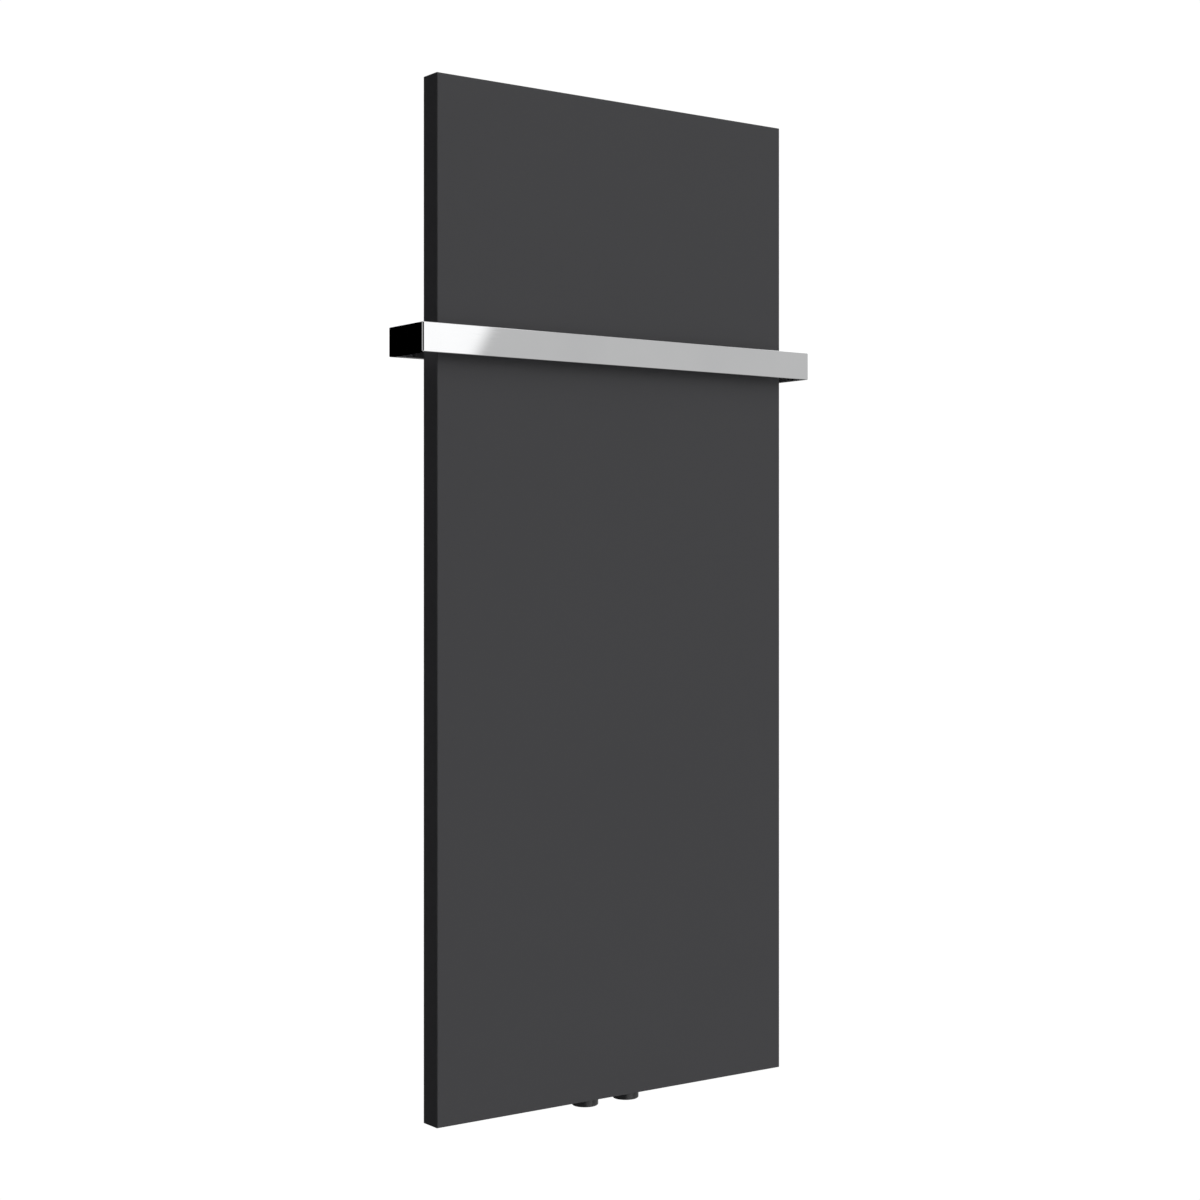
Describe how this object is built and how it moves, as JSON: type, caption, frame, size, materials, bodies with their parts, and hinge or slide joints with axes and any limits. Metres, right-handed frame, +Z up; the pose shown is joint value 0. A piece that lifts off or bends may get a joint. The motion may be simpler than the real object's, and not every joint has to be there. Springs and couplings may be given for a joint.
{
  "type": "flat panel radiator",
  "caption": "Vertical flat-panel hot-water radiator with centre bottom connections and a flat towel rail that wraps round its front and sides, hung on the wall by hook-in supports.",
  "frame": {"origin": "centre of the four wall fixings, in the plane of the wall", "axes": "+X to the right seen from the front, +Y from the room into the wall (the front faces -Y), +Z up"},
  "size_m": [0.472, 0.0965, 0.999],
  "materials": {
    "panel_paint": "matte",
    "body_paint": "matte",
    "rail_chrome": "polished",
    "zinc_steel": "satin",
    "plain_steel": "satin",
    "vent_brass": "satin",
    "vent_plastic": "satin",
    "black_rubber": "matte"
  },
  "bodies": {
    "wall_supports": {"wall_base_top_left": "zinc_steel", "wall_base_top_right": "zinc_steel", "wall_base_bottom_left": "zinc_steel", "wall_base_bottom_right": "zinc_steel"},
    "sleeves": {"sleeve_top_left": "body_paint", "sleeve_top_right": "body_paint", "sleeve_bottom_left": "body_paint", "sleeve_bottom_right": "body_paint", "hook_stud_top_left": "zinc_steel", "hook_stud_top_right": "zinc_steel", "hook_stud_bottom_left": "zinc_steel", "hook_stud_bottom_right": "zinc_steel", "lock_screws": "zinc_steel"},
    "radiator": {"front_panel": "panel_paint", "flat_tube_1": "body_paint", "flat_tube_2": "body_paint", "flat_tube_3": "body_paint", "flat_tube_4": "body_paint", "flat_tube_5": "body_paint", "flat_tube_6": "body_paint", "tube_end_caps": "body_paint", "top_header": "body_paint", "bottom_header": "body_paint", "header_end_caps": "body_paint", "flow_divider": "plain_steel", "supply_boss": "body_paint", "return_boss": "body_paint", "vent_boss": "body_paint", "vent_seal": "black_rubber", "vent_plug": "vent_brass", "cover_bracket_top_left": "body_paint", "cover_bracket_top_right": "body_paint", "cover_bracket_bottom_left": "body_paint", "cover_bracket_bottom_right": "body_paint", "cover_screws": "zinc_steel", "cover_nuts": "zinc_steel", "hanger_top_left": "body_paint", "hanger_top_right": "body_paint", "hanger_bottom_left": "body_paint", "hanger_bottom_right": "body_paint", "towel_rail": "rail_chrome", "rail_bracket_left": "body_paint", "rail_bracket_right": "body_paint", "rail_pad_left": "black_rubber", "rail_pad_right": "black_rubber", "rail_screws": "zinc_steel", "rail_nuts": "zinc_steel"},
    "spindle": {"vent_spindle": "zinc_steel"},
    "spout": {"vent_spout": "vent_plastic"}
  },
  "joints": [
    {"name": "wall_gap", "type": "slide", "parent": "wall_supports", "child": "sleeves", "axis": [0, -1, 0], "range_m": [-0.003, 0.008]},
    {"name": "lift_off", "type": "slide", "parent": "sleeves", "child": "radiator", "axis": [0, 0, 1], "range_m": [0, 0.016]},
    {"name": "vent_screw", "type": "hinge", "parent": "radiator", "child": "spindle", "pos_m": [0.15, -0.0565, 0.487], "axis": [0, 0, 1], "range_deg": [0, 360]},
    {"name": "spout_swivel", "type": "hinge", "parent": "radiator", "child": "spout", "pos_m": [0.15, -0.0565, 0.4836], "axis": [0, 0, 1], "continuous": true}
  ]
}
